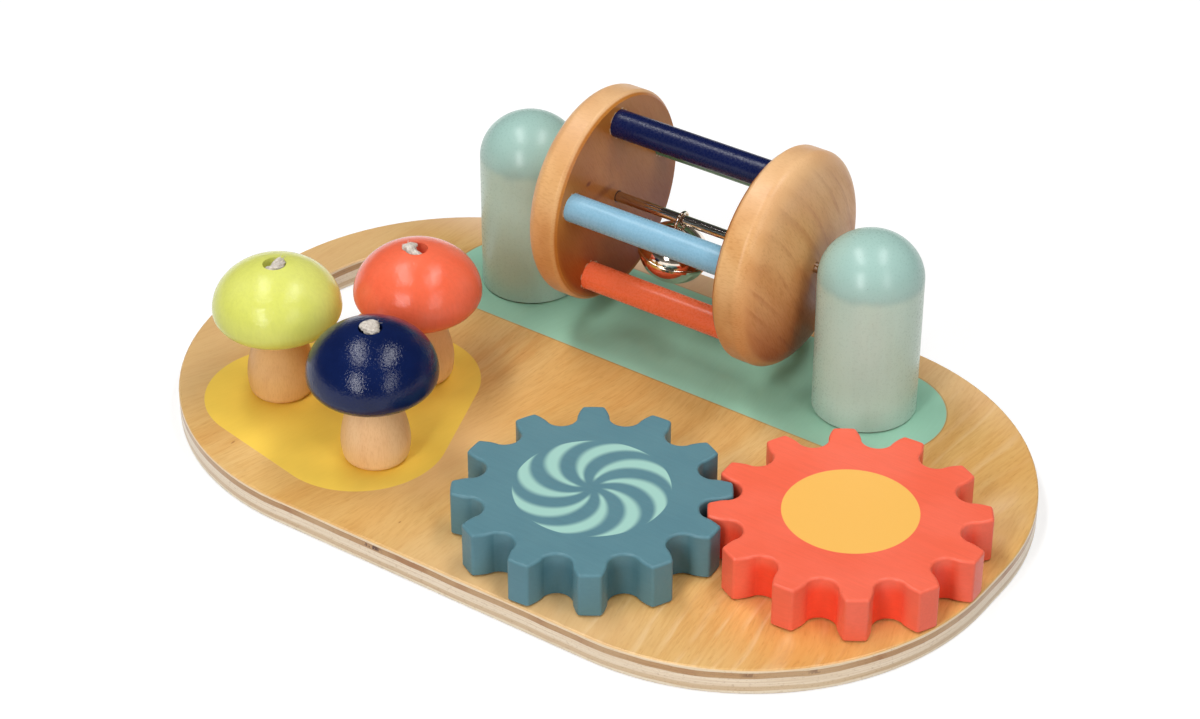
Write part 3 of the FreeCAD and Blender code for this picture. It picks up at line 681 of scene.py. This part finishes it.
# ---------------------------------------------------------------------------
# Cord: knots in the caps and elastic under them
# ---------------------------------------------------------------------------
def smooth_points(route, steps):
    """Points along a NURBS curve whose control points are the route, in metres."""
    data = bpy.data.curves.new("route", "CURVE")
    data.dimensions = "3D"
    data.resolution_u = steps
    line = data.splines.new("NURBS")
    line.points.add(len(route) - 1)
    for point, place in zip(line.points, route):
        point.co = (*place, 1.0)
    line.order_u = 3
    line.use_endpoint_u = True
    holder = bpy.data.objects.new("route", data)
    mesh = bpy.data.meshes.new_from_object(holder)
    points = [vertex.co.copy() for vertex in mesh.vertices]
    bpy.data.objects.remove(holder)
    bpy.data.curves.remove(data)
    bpy.data.meshes.remove(mesh)
    return points


def swelling(share, tip):
    """Thickness along a cord: tip at both ends, 1 over most of its length."""
    return tip + (1 - tip) * max(math.sin(math.pi * share), 0.0) ** 0.45


def walk(points):
    """Each point of a line, with its share of the way, its direction and a steady axis beside it."""
    last = len(points) - 1
    beside = None
    for index, place in enumerate(points):
        ahead = (points[min(index + 1, last)] - points[max(index - 1, 0)]).normalized()
        if beside is None:
            beside = ahead.orthogonal().normalized()
        beside = (beside - ahead * beside.dot(ahead)).normalized()
        yield place, index / last, ahead, beside


def tube(shape, points, radius, tip, sides=8):
    """Sweep a ring along points into a bmesh, thinner at both ends and closed there."""
    previous = None
    for place, share, ahead, beside in walk(points):
        size = radius * swelling(share, tip)
        made = bmesh.ops.create_circle(shape, cap_ends=False, segments=sides, radius=size)
        turned = Matrix((beside, ahead.cross(beside), ahead)).transposed().to_4x4()
        bmesh.ops.transform(shape, matrix=Matrix.Translation(place) @ turned, verts=made["verts"])
        ring = list({edge for vertex in made["verts"] for edge in vertex.link_edges})
        if previous is None:
            bmesh.ops.contextual_create(shape, geom=ring)
        else:
            bmesh.ops.bridge_loops(shape, edges=previous + ring)
        previous = ring
    bmesh.ops.contextual_create(shape, geom=previous)


def twisted_strand(points, phase, offset, pitch, tip):
    """Points that wind round a line of points at an offset, once in every pitch."""
    wound, travelled, before = [], 0.0, points[0]
    for place, share, ahead, beside in walk(points):
        travelled += (place - before).length
        before = place
        angle = phase + 2 * math.pi * travelled / pitch
        side = beside * math.cos(angle) + ahead.cross(beside) * math.sin(angle)
        wound.append(place + side * offset * swelling(share, tip))
    return wound


def twist(shape, path, strands, offset, radius, pitch, tip):
    """Several strands of one radius, wound side by side round a path."""
    for strand in range(strands):
        phase = 2 * math.pi * strand / strands
        tube(shape, twisted_strand(path, phase, offset, pitch, tip), radius, tip)


def linked_object(name, shape):
    """A bmesh as an object in the scene."""
    mesh = bpy.data.meshes.new(name)
    shape.to_mesh(mesh)
    shape.free()
    made = bpy.data.objects.new(name, mesh)
    bpy.context.scene.collection.objects.link(made)
    return made


def cotton_piece(name, shape):
    """Strands as one smooth piece of cotton."""
    bmesh.ops.recalc_face_normals(shape, faces=shape.faces)
    for face in shape.faces:
        face.smooth = True
    piece = linked_object(name, shape)
    dress(cotton, piece)
    return piece


def stray_fibre(shape, path, reach, chance):
    """A thin fibre that stands off the last half of a path."""
    start = path[chance.randrange(len(path) // 2, len(path))]
    lean = Vector([chance.uniform(-1, 1), chance.uniform(-1, 1), chance.uniform(0.0, 1)]).normalized()
    bend = start + lean * reach
    end = bend + (lean + Vector((chance.uniform(-1, 1), chance.uniform(-1, 1), 0))) * 0.5 * MM
    tube(shape, smooth_points([start, bend, end], 3), radius=0.07 * MM, tip=0.5, sides=4)


def cap_knot(colour, cords, seed):
    """Lump of soft many-stranded cord pushed into a cap's hole.

    Each cord is a width and a route, in mm from the hole's rim; routes run right, away and up as
    seen in front."""
    hole = middle("mushroom_cap_" + colour)
    rim = Vector((hole.x, hole.y, CAP_HOLE_TOP)) * MM
    set_down = Matrix.Translation(rim) @ Matrix.Rotation(VIEW_TURN, 4, "Z")
    chance = random.Random(seed)
    shape = bmesh.new()
    for width, route in cords:
        path = smooth_points([set_down @ (Vector(place) * MM) for place in route], 8)
        twist(shape, path, strands=5, offset=width * 0.27 * MM, radius=width * 0.25 * MM,
              pitch=11 * MM, tip=0.3)
        for fibre in range(9):
            stray_fibre(shape, path, width * 0.5 * MM, chance)
    knot = cotton_piece("cap_knot_" + colour, shape)
    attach(knot, "cap_" + colour)
    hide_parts("mushroom_knot_" + colour)


def elastic_cord(colour):
    """Three-strand elastic, held in the board at its foot, swept straight up the CAD cord's box."""
    cord_radius = 1.5 * MM
    low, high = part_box("mushroom_cord_" + colour)
    centre_x, centre_y = (low.x + high.x) / 2, (low.y + high.y) / 2
    foot, head = Vector((centre_x, centre_y, low.z)), Vector((centre_x, centre_y, high.z))
    path = smooth_points([foot, (foot + head) / 2, head], 72)
    shape = bmesh.new()
    twist(shape, path, strands=3, offset=cord_radius * 0.46, radius=cord_radius * 0.52,
          pitch=9 * MM, tip=1.0)
    cord = cotton_piece("elastic_cord_" + colour, shape)
    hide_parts("mushroom_cord_" + colour)
    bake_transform(cord)


# ---------------------------------------------------------------------------
# Finishes on every solid
# ---------------------------------------------------------------------------
dress(plywood(), "base_board")

# marks on the discs: centre, reach and strength
LEFT_DISC_MARKS = [((LEFT_DISC_INNER, 41.0, 69.5), (2, 2.2, 1.3), 0.8),
                   ((LEFT_DISC_INNER, 50.0, 62.0), (2, 9, 2.6), 0.5)]
RIGHT_DISC_MARKS = [((35.0, 45.1, 78.2), (1.3, 0.9, 0.9), 0.9)]
dress(barrel_disc("beech left disc", LEFT_DISC_INNER, srgb(236, 184, 124), srgb(222, 162, 98),
                  late=0.08, marks=LEFT_DISC_MARKS), "barrel_disc_left")
dress(barrel_disc("beech right disc", RIGHT_DISC_INNER, srgb(236, 184, 124), srgb(220, 158, 94),
                  late=0.42, marks=RIGHT_DISC_MARKS), "barrel_disc_right")
dress(beech("beech pegs", srgb(238, 196, 146), srgb(226, 178, 124), fibre=UPRIGHT, across=(1, 0, 0),
            spacing=6.0, late=0.3, centre=(0, 0, 0)), "gear_peg_front", "gear_peg_end")

dress(post_finish(), "post_left", "post_right")
dress(swirl_finish(), "gear_front")
dress(sun_finish(), "gear_end")

# caps as bright, deep and gloss, and stems as light and dark; each stem is also lighter or darker as
# painted light and shade, the front-lit navy stem lightest
CAP_COLOURS = {
    "lime": (srgb(228, 231, 122), srgb(224, 227, 110), 0.27),
    "coral": (srgb(251, 119, 87), srgb(249, 108, 74), 0.32),
    "navy": (srgb(17, 33, 80), srgb(12, 25, 68), 0.31),
}
STEM_TONES_WITH_PAINTED_SHADE = {
    "lime": (srgb(242, 195, 137), srgb(236, 184, 122)),
    "coral": (srgb(248, 202, 144), srgb(243, 190, 129)),
    "navy": (srgb(255, 213, 162), srgb(251, 202, 148)),
}
cotton = cord_finish()
for colour, (bright, deep, gloss) in CAP_COLOURS.items():
    dress(paint(colour + " cap paint", bright, deep, roughness=0.1, specular=gloss, peel=0.3,
                grain=(1.2, 1.2, 6), traced=0.4, sparkle=0.75), "mushroom_cap_" + colour)
    dress(beech("beech stem " + colour, *STEM_TONES_WITH_PAINTED_SHADE[colour], fibre=UPRIGHT, across=(0.8, -0.6, 0),
                spacing=7.0, late=0.12, centre=(-70, -39, 0), coat=0.15, flecked=0.25),
          "mushroom_stem_" + colour)
    dress(cotton, "under_knot_" + colour)

for colour, shade in DOWEL_COLOURS.items():
    deep = srgb(*[channel * 0.96 for channel in shade])
    dress(paint("dowel " + colour.replace("_", " "), srgb(*shade), deep, roughness=0.28, specular=0.35,
                peel=0.3, grain=(9, 0.8, 0.8), traced=0.5, sparkle=0.4), "barrel_dowel_" + colour)

dress(steel("bright drawn rod", (222, 214, 206), 0.11, along=(14, 0.5, 0.5), scratch=0.0), "steel_rod")
# the bell plating's warm tint is partly a painted reflection of the warm wood and paint round the bell
dress(steel("bell plating", (240, 226, 210), 0.09, along=(3, 3, 3), scratch=0.0),
      "bell_ring", "bell_crown", "bell_bowl")
dress(steel("zinc plating", (196, 196, 190), 0.32), "post_screws", "bell_pellet",
      "gear_washer_front", "gear_washer_end", "gear_screw_front", "gear_screw_end")

for colour in CAP_COLOURS:
    elastic_cord(colour)

# A lump of cord in each hole, each pushed to a different side
cap_knot("lime", [
    (2.9, [(0.5, 0.5, -6), (-1.5, -0.5, -4.2), (-3.0, -1.6, -2.4), (-1.2, -2.7, -1.0), (1.4, -2.0, -0.3),
           (3.0, 0.2, 0.0), (2.2, 1.8, 0.2)]),
    (3.4, [(1.0, 0.0, -4), (0.2, -0.6, -1.6), (1.2, 0.4, -0.2), (2.2, 1.6, 0.6)]),
], seed=3)
cap_knot("coral", [
    (2.8, [(1.0, -0.5, -6), (1.8, -1.9, -3.2), (0.9, -2.8, -1.2), (-1.4, -2.1, -0.4), (-2.7, 0.0, 0.2),
           (-1.7, 1.7, 0.2), (0.3, 2.1, -0.3)]),
    (3.2, [(-0.4, 0.4, -3), (-1.3, 0.4, -0.6), (-2.8, -0.1, 0.3), (-4.5, -0.4, 0.4)]),
], seed=5)
cap_knot("navy", [
    (2.9, [(-3.4, 0.1, 0.0), (-1.9, 0.7, 0.4), (0.1, 1.0, 0.6), (1.6, 1.2, 0.5), (2.1, 1.9, 0.3)]),
    (3.1, [(-2.8, -0.5, 0.0), (-0.9, -0.9, 0.5), (1.1, -0.6, 0.4), (2.6, 0.1, -0.2)]),
    (2.6, [(-2.0, -1.3, -0.6), (0.0, -2.0, -0.3), (1.7, -1.5, -0.4), (2.7, -0.5, -1.0)]),
], seed=8)

# ---------------------------------------------------------------------------
# Floor, light and camera, in metres; the lens and its sensor in millimetres
# ---------------------------------------------------------------------------
scene = bpy.context.scene
scene.view_settings.view_transform = "Standard"
FLOOR_HALF_WIDTH = 12
FLOOR_COLOUR = 0.5
FLOOR_GLOW = 0.6
FLOOR_FADE = (0.35, 1.6)
ROOM_COLOUR = (1.0, 0.95, 0.87, 1.0)
ROOM_CEILING = 0.05
ROOM_WALL = 0.17
WALL_FADE = (0.05, 0.3)
LAMP_DISTANCE = 2.2

# name, direction from the board, width, height and brightness of the surface
LAMPS = [
    ("front left lamp", (0.08, -0.84, 0.52), 0.42, 1.45, 11.7),
    ("right lamp", (0.78, -0.27, 0.52), 0.40, 1.45, 5.7),
    ("upper left lamp", (-0.31, -0.11, 0.94), 0.38, 1.55, 10.3),
    ("upper right lamp", (0.28, 0.22, 0.93), 0.38, 1.40, 9.4),
]
CAMERA_PLACE = (0.4712, -0.6801, 0.5997)
CAMERA_AIM = (-0.01103, 0.01688, 0.0200)
CAMERA_SENSOR = 36.0
CAMERA_LENS = 91.57
CAMERA_CLIP = (0.05, 50)


def pale_floor():
    """White floor that keeps the board's shadow near it and stays white far away and in reflections."""
    shape = bmesh.new()
    bmesh.ops.create_grid(shape, x_segments=1, y_segments=1, size=FLOOR_HALF_WIDTH)
    floor = linked_object("floor", shape)
    material = bpy.data.materials.new("white floor")
    material.use_nodes = True
    material.node_tree.nodes.clear()
    n = Nodes(material.node_tree)
    rays = n.node("LightPath", {}).outputs
    seen = n.add(rays["Is Camera Ray"], rays["Is Glossy Ray"], rays["Is Transmission Ray"])
    away = n.vector("LENGTH", n.node("TexCoord", {}).outputs["Object"])
    strength = n.times(seen, n.ease(away, *FLOOR_FADE, start=FLOOR_GLOW, end=1.0))
    glow = n.node("Emission", {"Strength": strength}).outputs[0]
    diffuse = n.node("BsdfDiffuse", {"Color": (FLOOR_COLOUR, FLOOR_COLOUR, FLOOR_COLOUR, 1.0)}).outputs[0]
    n.node("OutputMaterial", {"Surface": n.node("AddShader", {0: diffuse, 1: glow}).outputs[0]})
    floor.data.materials.append(material)


def studio_world():
    """Dim room overhead with a paler wall low down all round, read from the ray's own height."""
    world = bpy.data.worlds.new("studio room")
    scene.world = world
    world.use_nodes = True
    world.node_tree.nodes.clear()
    n = Nodes(world.node_tree)
    height = n.axes(n.node("TexCoord", {}).outputs["Generated"])[2]
    strength = n.ease(height, *WALL_FADE, start=ROOM_WALL, end=ROOM_CEILING)
    light = n.node("Background", {"Color": ROOM_COLOUR, "Strength": strength}).outputs[0]
    n.node("OutputWorld", {"Surface": light})


def softbox(name, direction, width, height, brightness):
    """Rectangular lamp that faces the board from a direction, level with the camera's own right."""
    lamp = bpy.data.lights.new(name, "AREA")
    lamp.shape = "RECTANGLE"
    lamp.size = width
    lamp.size_y = height
    lamp.energy = brightness * math.pi * width * height
    holder = bpy.data.objects.new(name, lamp)
    away = Vector(direction).normalized()
    right = Vector((math.cos(VIEW_TURN), math.sin(VIEW_TURN), 0))
    across = (right - away * right.dot(away)).normalized()
    axes = Matrix((across, away.cross(across), away)).transposed()
    holder.matrix_world = Matrix.Translation(away * LAMP_DISTANCE) @ axes.to_4x4()
    scene.collection.objects.link(holder)


pale_floor()
studio_world()
for lamp in LAMPS:
    softbox(*lamp)

camera_data = bpy.data.cameras.new("camera")
camera_data.sensor_width = CAMERA_SENSOR
camera_data.lens = CAMERA_LENS
camera_data.clip_start, camera_data.clip_end = CAMERA_CLIP
camera = bpy.data.objects.new("camera", camera_data)
scene.collection.objects.link(camera)
camera.location = CAMERA_PLACE
camera.rotation_euler = (camera.location - Vector(CAMERA_AIM)).to_track_quat("Z", "Y").to_euler()
scene.camera = camera
